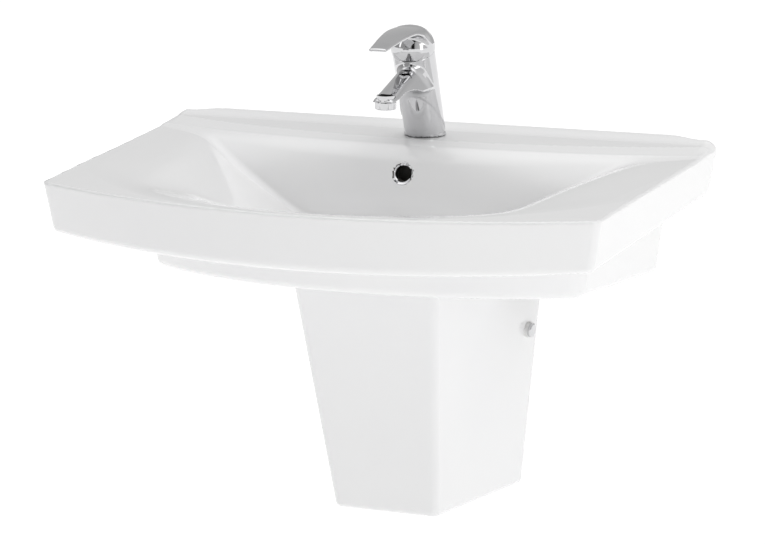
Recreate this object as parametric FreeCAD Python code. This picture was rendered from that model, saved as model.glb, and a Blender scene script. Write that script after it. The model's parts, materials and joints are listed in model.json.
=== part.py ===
import FreeCAD, Part
import math
import os

# Wall-hung washbasin on a semi-pedestal, with its mixer tap, click-clack waste and bottle trap.
# Frame: X to the right, Y into the wall, Z up, millimetres. The wall is the plane y = 0, and the
# origin is the point on the wall midway between the two wall bolts.

# ---- driving dimensions: basin ----
RIM_Z = 95.0                # top of the rim above the wall bolts
RIM_WALL_HALF = 350.0       # half of the overall width, at the wall
RIM_FRONT_HALF = 320.0      # half width at the front corners
RIM_FRONT_Y = -459.0        # front corners
RIM_BOW_Y = -534.0          # middle of the bowed front
FASCIA = 60.0               # height of the rim's outer face
FASCIA_TAPER = 10.0         # how far the fascia's bottom edge lies inside its top edge
DECK_RISE = 11.0            # tap deck above the rim
DECK_SEAT = 5.0             # level seat for the tap, above the rim
DECK_FLAT_Y = (-33.0, -98.0)     # back and front of that seat
LEDGE_Y = -137.0            # foot of the deck's front slope
BODY_WALL_HALF = 275.0      # lower body, half width at the wall
BODY_FRONT_HALF = 253.0     # lower body, half width at its front corners
BODY_FRONT_Y = -293.0
BODY_BOW_Y = -396.0
BODY_FLARE = 14.0           # how much wider the lower body is under the rim than at its bottom
UNDER_WALL = 161.0          # depth of the underside below the rim at the wall
UNDER_FRONT = 126.0         # and at the pedestal's front
PEDESTAL_FRONT_Y = -291.0
BOWL_DEPTH = 104.0
BOWL_BREAK = 44.0           # depth at which the gentle side slopes turn into the well
BOWL_BREAK_Y = -153.0       # middle of the bowl's back at that depth
WASTE_Y = -195.0
WASTE_HOLE_R = 22.5
WASTE_BOSS_R = 34.0
WASTE_BOSS_DEPTH = 142.0
TAP_Y = -65.0
TAP_HOLE_R = 17.5
ACCESS_HALF = 255.0         # recess under the deck that gives access to the tap and bolts
ACCESS_FRONT_Y = -96.0
WALL_WEB = 16.0             # ceramic left between the recess and the wall
DECK_THICK = 25.0
OVERFLOW_DEPTH = 28.0
OVERFLOW_R = 11.0
CHANNEL_HALF = 18.0
CHANNEL_FRONT_Y = -136.0
CHANNEL_BACK_Y = -124.0

# ---- driving dimensions: wall fixing ----
BOLT_SPACING = 280.0
BOLT_R = 5.0                # in the wall
BOLT_THREAD_R = 4.0         # M8 thread in front of the wall
BOLT_HOLE_R = 8.0
BOLT_IN_WALL = 60.0
BOLT_END_Y = -44.0

# ---- driving dimensions: semi-pedestal ----
PED_TOP = 126.0             # depth of its top front edge below the rim
PED_BOTTOM = 431.0
PED_WALL_BOTTOM = 447.0
PED_WALL_HALF = (137.0, 109.6)      # half width at the wall, top and bottom
PED_FRONT_HALF = (88.0, 64.0)
PED_FRONT_Y = (-291.0, -210.0)
PED_WALL = 9.0
PED_GAP = 1.0
SIDE_SCREW_Y = -28.0
SIDE_SCREW_DEPTH = 238.0
BRACKET_T = 3.0
SCREW_R = 2.5               # in the wall
SCREW_NECK_R = 2.0          # in front of the wall
SCREW_SPACING = 26.0

# ---- driving dimensions: waste and trap ----
FLANGE_R = 31.5
WASTE_R = 20.9
WASTE_BORE = 18.5
WASTE_END_DEPTH = 190.0
PLUG_LIFT = 8.0
TRAP_R = 27.0
TRAP_PIPE_R = 16.0
TRAP_OUT_DEPTH = 249.0
TRAP_CUP_DEPTH = 335.0
OUTLET_END_Y = 50.0

# ---- driving dimensions: tap ----
TAP_R = 25.5
TAP_LEAN = 22.8             # the body leans towards the bowl, degrees
INLET_X = 8.0
INLET_Y = TAP_Y - 6.0
INLET_R = 5.0               # M10 supply hoses
STUD_Y = TAP_Y + 11.0
STUD_R = 4.0
SEAM = 116.0                # height of the lever's seam along the leaning axis
PIVOT = 91.0                # height of the lever's pivot along the same axis
SEAM_GAP = 1.9
SPOUT_REACH = 146.4
SPOUT_TOP = (92.0, 69.0)    # height of the spout's top edge at the body and at its end
SPOUT_UNDER = 62.0
SPOUT_HALF = (23.0, 14.5)
LEVER_REACH = 176.0         # tip of the lever in front of the tap's base
LEVER_TIP_HALF = 10.3
CARTRIDGE_R = 17.5
STEM_HALF = 4.0
PIN_R = 1.5
DISC_ARM = 14.0             # from the pivot down to the ball that drives the moving disc
DOME_R = 26.7
DOME_HEIGHT = 122.0         # centre of the lever's dome along the leaning axis
AERATOR_R = 12.3

V = FreeCAD.Vector
X_AXIS = V(1, 0, 0)
Y_AXIS = V(0, 1, 0)
Z_AXIS = V(0, 0, 1)
UNDER_SLOPE = (UNDER_WALL - UNDER_FRONT) / -PEDESTAL_FRONT_Y


# ---- helpers ----
def export(node, shape):
    shape.exportStep(os.path.join("parts", node + ".step"))


def block(x0, x1, y0, y1, z0, z1):
    return Part.makeBox(x1 - x0, y1 - y0, z1 - z0, V(x0, y0, z0))


def rod(r, start, end):
    """Round bar between two points."""
    span = end - start
    return Part.makeCylinder(r, span.Length, start, span)


def pipe(r_out, r_in, start, end):
    """Round tube between two points; the bore runs past both ends."""
    over = (end - start).normalize()
    return rod(r_out, start, end).cut(rod(r_in, start - over, end + over))


def upright(r, x, y, z0, z1):
    return rod(r, V(x, y, z0), V(x, y, z1))


def ring(r_out, r_in, x, y, z0, z1):
    return pipe(r_out, r_in, V(x, y, z0), V(x, y, z1))


def hexagon(across_flats, height):
    """Hexagonal prism standing on the XY plane."""
    r = across_flats / math.sqrt(3)
    corners = [V(r * math.cos(math.radians(a)), r * math.sin(math.radians(a)), 0) for a in range(0, 361, 60)]
    return Part.Face(Part.makePolygon(corners)).extrude(V(0, 0, height))


def nut(across_flats, hole_r, height):
    body = hexagon(across_flats, height).cut(upright(hole_r, 0, 0, -1, height + 1))
    crown = Part.makeCone(across_flats / 2 * 1.01, across_flats / 2 * 1.01 + height, height)
    crown.rotate(V(0, 0, height / 2), X_AXIS, 180)
    return body.common(crown)


def revolve(profile):
    """Solid of revolution about Z from a list of (r, z) points."""
    points = [V(r, 0, z) for r, z in profile]
    return Part.Face(Part.makePolygon(points + points[:1])).revolve(V(0, 0, 0), Z_AXIS, 360)


def side_profile(points, half_width):
    """Prism across X from a closed list of (y, z) points."""
    corners = [V(-half_width, y, z) for y, z in points]
    return Part.Face(Part.makePolygon(corners + corners[:1])).extrude(V(2 * half_width, 0, 0))


def moved(shape, x, y, z):
    copy = shape.copy()
    copy.translate(V(x, y, z))
    return copy


def turned(shape, axis, degrees):
    copy = shape.copy()
    copy.rotate(V(0, 0, 0), axis, degrees)
    return copy


def mirrored(shape):
    return shape.mirror(V(0, 0, 0), X_AXIS)


def pair(shape):
    """The same piece on the right and, mirrored, on the left."""
    return Part.makeCompound([shape, mirrored(shape)])


def outline(back_half, back_y, back_mid_y, front_half, front_y, front_mid_y, z):
    """Closed outline with bowed front, and a bowed back where back_mid_y differs from back_y."""
    bl, br = V(-back_half, back_y, z), V(back_half, back_y, z)
    fl, fr = V(-front_half, front_y, z), V(front_half, front_y, z)
    if back_mid_y == back_y:
        back = Part.makeLine(br, bl)
    else:
        back = Part.Arc(br, V(0, back_mid_y, z), bl).toShape()
    if front_mid_y == front_y:
        front = Part.makeLine(fl, fr)
    else:
        front = Part.Arc(fl, V(0, front_mid_y, z), fr).toShape()
    return Part.Wire([back, Part.makeLine(bl, fl), front, Part.makeLine(fr, br)])


def loft(*wires):
    return Part.makeLoft(list(wires), True, True)


def upright_edges(shape, min_length):
    """Edges that run mostly upwards."""
    found = []
    for edge in shape.Edges:
        a, b = edge.Vertexes[0].Point, edge.Vertexes[-1].Point
        if abs(b.z - a.z) > 0.8 * edge.Length and edge.Length > min_length:
            found.append(edge)
    return found


def level_edges(shape, z, away_from_wall=1.0):
    """Edges at one height, without the one on the wall."""
    box = [e for e in shape.Edges if abs(e.BoundBox.ZMin - z) < 0.01 and abs(e.BoundBox.ZMax - z) < 0.01]
    return [e for e in box if e.BoundBox.YMin < -away_from_wall]


# ---- basin ----
def under_z(y):
    """Height of the basin's sloping underside."""
    return RIM_Z - UNDER_WALL - UNDER_SLOPE * y


def rim_slab():
    top = outline(RIM_WALL_HALF, 0, 0, RIM_FRONT_HALF, RIM_FRONT_Y, RIM_BOW_Y, RIM_Z)
    taper = FASCIA_TAPER
    bottom = outline(RIM_WALL_HALF - taper / 2, 0, 0, RIM_FRONT_HALF - taper, RIM_FRONT_Y + taper,
                     RIM_BOW_Y + taper, RIM_Z - FASCIA)
    slab = loft(bottom, top)
    front_corners = [e for e in upright_edges(slab, FASCIA / 2) if e.BoundBox.YMax < -taper]
    slab = slab.makeFillet(8, front_corners)
    slab = slab.makeFillet(7, level_edges(slab, RIM_Z - FASCIA))
    return slab.makeFillet(3, level_edges(slab, RIM_Z))


def deck():
    """Raised tap deck: level at the back, sloping down to the rim at the bowl."""
    top = RIM_Z + DECK_RISE
    seat = RIM_Z + DECK_SEAT
    profile = [(0, RIM_Z - 5), (0, top), (DECK_FLAT_Y[0], seat), (DECK_FLAT_Y[1], seat), (LEDGE_Y, RIM_Z),
               (LEDGE_Y, RIM_Z - 5)]
    solid = side_profile(profile, RIM_WALL_HALF)
    slope = RIM_WALL_HALF - 4 * DECK_RISE
    ends = Part.makePolygon([V(-RIM_WALL_HALF, 0, RIM_Z), V(-slope, 0, top + 1), V(slope, 0, top + 1),
                             V(RIM_WALL_HALF, 0, RIM_Z), V(RIM_WALL_HALF - 6, 0, RIM_Z - 6),
                             V(-RIM_WALL_HALF + 6, 0, RIM_Z - 6), V(-RIM_WALL_HALF, 0, RIM_Z)])
    envelope = Part.Face(ends).extrude(V(0, LEDGE_Y, 0))
    side_taper = (RIM_WALL_HALF - RIM_FRONT_HALF) / -RIM_FRONT_Y
    at_ledge = RIM_WALL_HALF + side_taper * LEDGE_Y
    plan = Part.makePolygon([V(-RIM_WALL_HALF + 3, 0, 0), V(-at_ledge + 3, LEDGE_Y, 0),
                             V(at_ledge - 3, LEDGE_Y, 0), V(RIM_WALL_HALF - 3, 0, 0),
                             V(-RIM_WALL_HALF + 3, 0, 0)])
    footprint = Part.Face(plan).extrude(V(0, 0, top + 20))
    return solid.common(envelope).common(footprint)


def lower_body():
    flare = BODY_FLARE
    top_z = RIM_Z - FASCIA + 10
    low_z = RIM_Z - UNDER_WALL - 5
    top = outline(BODY_WALL_HALF + flare, 0, 0, BODY_FRONT_HALF + flare, BODY_FRONT_Y - flare,
                  BODY_BOW_Y - flare, top_z)
    low = outline(BODY_WALL_HALF, 0, 0, BODY_FRONT_HALF, BODY_FRONT_Y, BODY_BOW_Y, low_z)
    body = loft(low, top)
    front_corners = [e for e in upright_edges(body, FASCIA) if e.BoundBox.YMax < -flare]
    body = body.makeFillet(12, front_corners)
    deep = low_z - 10
    ahead = 2 * BODY_BOW_Y
    below = [(10, under_z(10)), (ahead, under_z(ahead)), (ahead, deep), (10, deep)]
    return body.cut(side_profile(below, RIM_WALL_HALF))


def bowl():
    """The space inside the bowl: gentle slopes at the sides and front, a steep back."""
    def section(back_half, back_y, back_mid, front_half, front_y, front_mid, depth):
        return outline(back_half, back_y, back_mid, front_half, front_y, front_mid, RIM_Z - depth)
    mouth = (262, -108, LEDGE_Y, 276, -385, RIM_BOW_Y + 18)
    above = section(*mouth, -DECK_RISE - 5)
    edge = section(*mouth, 0)
    middle = section(186, -146, BOWL_BREAK_Y, 200, -290, -350, BOWL_BREAK)
    floor = section(75, -159, -160, 75, -228, -234, BOWL_DEPTH)
    return loft(edge, above).fuse(loft(floor, middle, edge)).removeSplitter()


def at_overflow(shape):
    """Place a piece made along +Z so that it stands square on the bowl's back at the overflow."""
    slant = math.degrees(math.atan2(LEDGE_Y - BOWL_BREAK_Y, BOWL_BREAK))
    y = LEDGE_Y + (BOWL_BREAK_Y - LEDGE_Y) * OVERFLOW_DEPTH / BOWL_BREAK
    return moved(turned(shape, X_AXIS, 90 - slant), 0, y, RIM_Z - OVERFLOW_DEPTH)


def overflow_channel():
    drop = block(-CHANNEL_HALF, CHANNEL_HALF, CHANNEL_FRONT_Y, CHANNEL_BACK_Y,
                 RIM_Z - 132, RIM_Z - OVERFLOW_DEPTH + CHANNEL_HALF - 2)
    duct = block(-12, 12, WASTE_Y, CHANNEL_BACK_Y, RIM_Z - 132, RIM_Z - 120)
    return drop.fuse(duct).fuse(at_overflow(upright(OVERFLOW_R, 0, 0, -16, 10)))


def basin():
    top = RIM_Z + DECK_RISE
    solid = rim_slab().fuse(deck()).fuse(lower_body())
    boss = upright(WASTE_BOSS_R, 0, WASTE_Y, RIM_Z - WASTE_BOSS_DEPTH, RIM_Z - FASCIA - 30)
    solid = solid.fuse(boss).cut(bowl())
    recess = block(-ACCESS_HALF, ACCESS_HALF, ACCESS_FRONT_Y, -WALL_WEB,
                   RIM_Z - 2 * UNDER_WALL, top - DECK_THICK)
    solid = solid.cut(recess).cut(overflow_channel())
    solid = solid.cut(upright(TAP_HOLE_R, 0, TAP_Y, RIM_Z - DECK_THICK, top + 1))
    solid = solid.cut(upright(WASTE_HOLE_R, 0, WASTE_Y, RIM_Z - UNDER_WALL, RIM_Z - FASCIA))
    for x in (-BOLT_SPACING / 2, BOLT_SPACING / 2):
        solid = solid.cut(rod(BOLT_HOLE_R, V(x, -WALL_WEB - 1, 0), V(x, 1, 0)))
    return solid.removeSplitter()


# ---- semi-pedestal ----
def pedestal_size(depth):
    """Half width at the wall, half width at the front, and the front's y at a depth below the rim."""
    t = (depth - PED_TOP) / (PED_BOTTOM - PED_TOP)
    return [top + (low - top) * t for top, low in (PED_WALL_HALF, PED_FRONT_HALF, PED_FRONT_Y)]


def pedestal_outline(depth, inset=0.0, back_y=0.0):
    """Level section of the pedestal, its sides drawing in towards the bottom and the front."""
    wall_half, front_half, front_y = pedestal_size(depth)
    lean = (wall_half - front_half) / -front_y
    back_half = wall_half + lean * back_y - inset
    front_half = front_half - inset + lean * inset
    return outline(back_half, back_y, back_y, front_half, front_y + inset, front_y + inset, RIM_Z - depth)


def semi_pedestal():
    top, low = PED_TOP - 14, PED_WALL_BOTTOM
    shell = loft(pedestal_outline(low), pedestal_outline(top))
    front_corners = [e for e in upright_edges(shell, 100) if e.BoundBox.YMax < -100]
    shell = shell.makeFillet(7, front_corners)
    rise = (PED_WALL_BOTTOM - PED_BOTTOM) / -PED_FRONT_Y[1]
    foot_y = 2 * PED_FRONT_Y[1]
    under = [(5, RIM_Z - low - 5), (5, RIM_Z - low), (0, RIM_Z - low), (foot_y, RIM_Z - low - rise * foot_y),
             (foot_y, RIM_Z - low - 5)]
    shell = shell.cut(side_profile(under, RIM_FRONT_HALF))
    bottom = [e for e in shell.Edges if e.BoundBox.ZMax < RIM_Z - PED_BOTTOM + 9 and e.BoundBox.YMin < -5]
    shell = shell.makeFillet(6, bottom)
    hollow = loft(pedestal_outline(low - PED_WALL - 16, PED_WALL, 5), pedestal_outline(top - 5, PED_WALL, 5))
    over = [(5, under_z(5) - PED_GAP), (-400, under_z(-400) - PED_GAP), (-400, RIM_Z), (5, RIM_Z)]
    shell = shell.cut(hollow).cut(side_profile(over, RIM_FRONT_HALF))
    place, normal = side_screw_seat()
    hole = rod(6.5, place + normal * 5, place - normal * 2 * PED_WALL)
    return shell.cut(hole).cut(mirrored(hole)).removeSplitter()


def side_screw_seat():
    """Point on the pedestal's right face where its side screw goes, and the face's normal."""
    wall_half, front_half, front_y = pedestal_size(SIDE_SCREW_DEPTH)
    along = SIDE_SCREW_Y / front_y
    place = V(wall_half + (front_half - wall_half) * along, SIDE_SCREW_Y, RIM_Z - SIDE_SCREW_DEPTH)
    forward = V(front_half - wall_half, front_y, 0)
    down = V(PED_WALL_HALF[1] - PED_WALL_HALF[0], 0, PED_TOP - PED_BOTTOM)
    return place, forward.cross(down).normalize()


def at_side_screw(shape):
    """Place a piece made along +Z so that its Z lies along the right face's normal."""
    place, normal = side_screw_seat()
    copy = shape.copy()
    copy.Placement = FreeCAD.Placement(place, FreeCAD.Rotation(Z_AXIS, normal)).multiply(copy.Placement)
    return copy


def pedestal_fixings():
    leg_face = -PED_WALL - 0.5
    leg = block(-13, 13, -40, 40, leg_face - BRACKET_T, leg_face)
    leg = at_side_screw(leg)
    leg = leg.common(block(0, RIM_WALL_HALF, -45, 0, RIM_Z - 270, RIM_Z - 210))
    place = side_screw_seat()[0]
    plate = block(place.x - 45, place.x - 11, -BRACKET_T, 0, place.z - 22, place.z + 22)
    bracket = leg.fuse(plate).cut(at_side_screw(upright(3.0, 0, 0, -20, 0)))
    screw_x = place.x - 34
    screws = []
    for z in (place.z - SCREW_SPACING / 2, place.z + SCREW_SPACING / 2):
        bracket = bracket.cut(rod(SCREW_R + 0.2, V(screw_x, -BRACKET_T - 1, z), V(screw_x, 1, z)))
        head = revolve([(0, 0), (SCREW_NECK_R, 0), (5.5, -2.4), (4.5, -4), (0, -4)])
        shank = upright(SCREW_NECK_R, 0, 0, -1, BRACKET_T).fuse(upright(SCREW_R, 0, 0, BRACKET_T, 45))
        screw = turned(head.fuse(shank), X_AXIS, -90)
        screws.append(moved(screw, screw_x, -BRACKET_T, z))
    export("pedestal_brackets", pair(bracket.removeSplitter()))
    export("bracket_wall_screws", Part.makeCompound(screws + [mirrored(s) for s in screws]))

    bush = revolve([(3.2, 4), (9.8, 4), (9.8, 0), (6.3, 0), (6.3, -PED_WALL - 0.3), (3.2, -PED_WALL - 0.3)])
    screw = upright(3.0, 0, 0, -24, 3.9).fuse(upright(5.0, 0, 0, 4, 6))
    cap = revolve([(0, 8), (7.2, 8), (8.8, 6.8), (8.8, 4.1), (7.6, 4.1), (7.6, 6.6), (0, 6.6)])
    nut_piece = moved(nut(10, 3.0, 5), 0, 0, leg_face - BRACKET_T - 5)
    export("side_screw_bushes", pair(at_side_screw(bush)))
    export("side_screws", pair(at_side_screw(screw.fuse(upright(3.0, 0, 0, 3, 5)))))
    export("side_screw_caps", pair(at_side_screw(cap)))
    export("side_screw_nuts", pair(at_side_screw(nut_piece)))


# ---- wall fixing ----
def wall_fixings():
    half = BOLT_SPACING / 2
    shank = rod(BOLT_THREAD_R, V(0, BOLT_END_Y, 0), V(0, 0, 0))
    shank = shank.fuse(rod(BOLT_R, V(0, 0, 0), V(0, BOLT_IN_WALL - 8, 0)))
    point = Part.makeCone(BOLT_R, 1.5, 8, V(0, BOLT_IN_WALL - 8, 0), Y_AXIS)
    bolt = shank.fuse(point)
    sleeve = pipe(BOLT_HOLE_R - 0.1, BOLT_THREAD_R + 0.05, V(0, -WALL_WEB, 0), V(0, -0.5, 0))
    sleeve = sleeve.fuse(pipe(13, BOLT_THREAD_R + 0.05, V(0, -WALL_WEB - 3, 0), V(0, -WALL_WEB, 0)))
    washer = pipe(14, BOLT_THREAD_R + 0.3, V(0, -WALL_WEB - 5, 0), V(0, -WALL_WEB - 3, 0))
    hex_nut = turned(nut(13, BOLT_THREAD_R, 6.5), X_AXIS, 90)
    hex_nut = moved(hex_nut, 0, -WALL_WEB - 5, 0)
    for node, piece in (("wall_bolts", bolt), ("wall_bolt_sleeves", sleeve), ("wall_bolt_washers", washer),
                        ("wall_bolt_nuts", hex_nut)):
        export(node, Part.makeCompound([moved(piece, half, 0, 0), moved(piece, -half, 0, 0)]))


# ---- overflow, waste and trap ----
def overflow_ring():
    return at_overflow(revolve([(9.6, -8), (10.7, -8), (10.7, 0.1), (15.8, 0.1), (15.8, 1.2),
                                (13.8, 3), (11.8, 2.2), (10.8, 2.6), (9.6, 1.4)]))


def waste_z(depth):
    return RIM_Z - depth


def waste_assembly():
    floor = BOWL_DEPTH
    end = WASTE_END_DEPTH

    def at_waste(profile):
        return moved(revolve(profile), 0, WASTE_Y, RIM_Z)

    body = at_waste([(WASTE_BORE, -floor + 2.2), (28, -floor + 2.4), (FLANGE_R - 1, -floor + 3.6),
                     (FLANGE_R, -floor + 2.8), (FLANGE_R, -floor + 1.2), (WASTE_R, -floor + 1.2),
                     (WASTE_R, -end), (WASTE_R - 4.9, -end), (WASTE_R - 4.9, -end + 40),
                     (WASTE_BORE, -end + 40)])
    slots = block(-8, 8, WASTE_Y - WASTE_R - 2, WASTE_Y + WASTE_R + 2, waste_z(131), waste_z(121))
    body = body.cut(slots)
    top_seal = ring(FLANGE_R - 2, WASTE_R + 0.2, 0, WASTE_Y, waste_z(floor), waste_z(floor) + 1.15)
    under = WASTE_BOSS_DEPTH
    bottom_seal = ring(31, WASTE_R + 0.1, 0, WASTE_Y, waste_z(under + 4), waste_z(under))
    backnut = moved(nut(58, WASTE_R, 10), 0, WASTE_Y, waste_z(under + 14))
    export("waste_body", body)
    export("waste_top_seal", top_seal)
    export("waste_bottom_seal", bottom_seal)
    export("waste_backnut", backnut)

    guide_z = waste_z(end - 40)
    guide = ring(7, 4.06, 0, WASTE_Y, guide_z, guide_z + 14)
    for k in range(3):
        arm = block(6, WASTE_BORE - 0.05, -1.5, 1.5, guide_z, guide_z + 5)
        arm = arm.common(upright(WASTE_BORE - 0.05, 0, 0, guide_z, guide_z + 5))
        guide = guide.fuse(moved(turned(arm, Z_AXIS, 90 + 120 * k), 0, WASTE_Y, 0))
    export("plug_guide", guide.removeSplitter())
    crown = -floor + 2.9
    plug = at_waste([(0, crown + 5), (12, crown + 4.6), (24, crown + 3.2), (29.6, crown + 1.4),
                     (30, crown + 0.8), (27.5, crown), (16, crown), (16, crown - 3), (12, crown - 3),
                     (12, crown - 6.5), (4, crown - 6.5), (4, -floor - 46 + PLUG_LIFT), (0, -floor - 46 + PLUG_LIFT)])
    seal = at_waste([(16.05, crown - 2.9), (17.4, crown - 2.4), (17.4, crown - 0.6), (16.05, crown - 0.05)])
    export("waste_plug", plug)
    export("plug_seal", seal)


def trap_assembly():
    y = WASTE_Y
    top = waste_z(WASTE_END_DEPTH)
    seat = top - 3
    out_z = waste_z(TRAP_OUT_DEPTH)
    cup_z = waste_z(TRAP_CUP_DEPTH)
    head_top, head_low = out_z + 21, out_z - 28

    seal = ring(WASTE_R, 14.6, 0, y, seat, top)
    inlet_nut = revolve([(WASTE_R, 12), (25.5, 12), (27, 10), (27, -8), (25.5, -10), (TRAP_PIPE_R + 0.4, -10),
                         (TRAP_PIPE_R + 0.4, -6.1), (WASTE_R, -6.1)])
    export("trap_inlet_seal", seal)
    export("trap_inlet_nut", moved(inlet_nut, 0, y, top))

    tube = ring(TRAP_PIPE_R, 14.5, 0, y, head_top - 3, seat)
    collar = ring(WASTE_R - 0.4, 14.5, 0, y, seat - 3, seat)
    head = upright(TRAP_R, 0, y, head_low, head_top)
    head = head.cut(upright(TRAP_R - 2.5, 0, y, head_low - 1, head_top - 3))
    socket = pipe(19.5, TRAP_PIPE_R + 0.1, V(0, y + 22, out_z), V(0, y + 46, out_z))
    head = head.fuse(socket).fuse(tube).fuse(collar)
    head = head.cut(upright(14.5, 0, y, head_top - 4, seat + 1))
    head = head.cut(rod(TRAP_PIPE_R + 0.1, V(0, y + 10, out_z), V(0, y + 47, out_z)))
    export("trap_body", head.removeSplitter())

    dip = ring(13.2, 11.6, 0, y, cup_z + 17, seat - 8)
    dip = dip.fuse(ring(14.4, 11.6, 0, y, head_top - 3, head_top + 6))
    export("trap_dip_tube", dip.removeSplitter())
    cup_seal = ring(TRAP_R - 2.6, TRAP_R - 5, 0, y, head_low + 6, head_low + 8.5)
    cup = revolve([(0, 0), (TRAP_R - 5, 0), (TRAP_R, 5), (TRAP_R, head_low - cup_z - 0.3),
                   (TRAP_R - 2.7, head_low - cup_z - 0.3), (TRAP_R - 2.7, head_low - cup_z + 6),
                   (TRAP_R - 5, head_low - cup_z + 6), (TRAP_R - 5, 6), (0, 3)])
    export("trap_cup", moved(cup, 0, y, cup_z))
    export("trap_cup_seal", cup_seal)

    outlet = pipe(TRAP_PIPE_R, 14.5, V(0, y + 26, out_z), V(0, OUTLET_END_Y, out_z))
    outlet_seal = pipe(19.5, TRAP_PIPE_R + 0.05, V(0, y + 46, out_z), V(0, y + 49, out_z))
    outlet_nut = revolve([(19.6, 0), (24.5, 0), (24.5, 15), (23, 17), (TRAP_PIPE_R + 0.3, 17),
                          (TRAP_PIPE_R + 0.3, 13.1), (19.6, 13.1)])
    outlet_nut = moved(turned(outlet_nut, X_AXIS, -90), 0, y + 36, out_z)
    rosette = revolve([(TRAP_PIPE_R + 0.3, 0), (36, 0), (36, 1.5), (24, 9), (TRAP_PIPE_R + 0.3, 10)])
    rosette = moved(turned(rosette, X_AXIS, 90), 0, 0, out_z)
    export("trap_outlet_pipe", outlet)
    export("trap_outlet_seal", outlet_seal)
    export("trap_outlet_nut", outlet_nut)
    export("wall_rosette", rosette)


# ---- tap ----
BASE_Z = RIM_Z + DECK_SEAT + 2.0        # underside of the tap body, on its base seal


def on_tap_axis(shape):
    """Place a piece made along +Z on the leaning axis of the tap."""
    return moved(turned(shape, X_AXIS, TAP_LEAN), 0, TAP_Y, BASE_Z)


def tap_point(height, forward=0.0, x=0.0):
    """Point by its height along the leaning axis and its distance in front of it."""
    a = math.radians(TAP_LEAN)
    return V(x, TAP_Y - height * math.sin(a) - forward * math.cos(a),
             BASE_Z + height * math.cos(a) - forward * math.sin(a))


def ball(r):
    return on_tap_axis(Part.makeSphere(r, V(0, 0, PIVOT)))


def spout_section(y, top, low, half):
    """Upright section of the spout: flat below, its top edges bevelled."""
    crown = 0.55 * half
    shoulder = BASE_Z + top - 6
    points = [V(-half, y, BASE_Z + low), V(half, y, BASE_Z + low), V(half, y, shoulder),
              V(crown, y, BASE_Z + top), V(-crown, y, BASE_Z + top), V(-half, y, shoulder)]
    return Part.makePolygon(points + points[:1])


def tap_body():
    rim_ball = math.hypot(TAP_R, SEAM - PIVOT)
    below = block(-60, 60, -200, 60, BASE_Z - 60, BASE_Z)
    column = on_tap_axis(upright(TAP_R, 0, 0, -30, SEAM + 8)).cut(below)
    above = on_tap_axis(upright(2 * TAP_R, 0, 0, PIVOT + 5, SEAM + 20))
    column = column.cut(above.cut(ball(rim_ball)))
    root_y, end_y = TAP_Y - 40, TAP_Y - SPOUT_REACH - 14
    root_top, end_top = SPOUT_TOP
    root_half, end_half = SPOUT_HALF
    root = spout_section(root_y, root_top + 4, SPOUT_UNDER - 12, root_half)
    middle = spout_section(root_y - 30, root_top, SPOUT_UNDER, root_half)
    spout = loft(root, middle, spout_section(end_y, end_top, SPOUT_UNDER + 2, end_half))
    solid = column.fuse(spout).removeSplitter()
    chamber = on_tap_axis(upright(CARTRIDGE_R + 0.3, 0, 0, 62, SEAM + 20))
    low_chamber = on_tap_axis(upright(9, 0, 0, 54, 63))
    aerator_y = TAP_Y - SPOUT_REACH
    under = BASE_Z + SPOUT_UNDER
    way = rod(5, tap_point(57), V(0, aerator_y, under + 5))
    socket = upright(AERATOR_R - 1.5, 0, aerator_y, under - 20, under + 7)
    solid = solid.cut(chamber).cut(low_chamber).cut(way).cut(socket)
    for x in (-INLET_X, INLET_X):
        inlet = upright(INLET_R, x, INLET_Y, BASE_Z - 1, BASE_Z + 14)
        feed = rod(3.0, V(x, INLET_Y, BASE_Z + 12), tap_point(63, 0, x))
        solid = solid.cut(inlet).cut(feed)
    return solid.cut(upright(STUD_R, 0, STUD_Y, BASE_Z - 1, BASE_Z + 16))


def tap_fixings():
    deck_z = RIM_Z + DECK_SEAT
    under = RIM_Z + DECK_RISE - DECK_THICK
    seal = ring(TAP_R - 1.5, TAP_R - 5, 0, TAP_Y, deck_z, BASE_Z)
    stud = upright(STUD_R, 0, STUD_Y, under - 45, BASE_Z + 15)
    export("tap_base_seal", seal)
    export("tap_stud", stud)
    slot = block(-15.5, 15.5, TAP_Y - 40, TAP_Y + 3, under - 10, under + 1)
    hole = upright(STUD_R + 0.3, 0, STUD_Y, under - 10, under + 1)
    rubber = upright(24, 0, TAP_Y, under - 3, under)
    plate = upright(23, 0, TAP_Y, under - 5.5, under - 3)
    export("tap_stud_rubber", rubber.cut(slot).cut(hole))
    export("tap_stud_plate", plate.cut(slot).cut(hole))
    export("tap_stud_nut", moved(nut(11, STUD_R, 18), 0, STUD_Y, under - 5.5 - 18))


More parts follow.
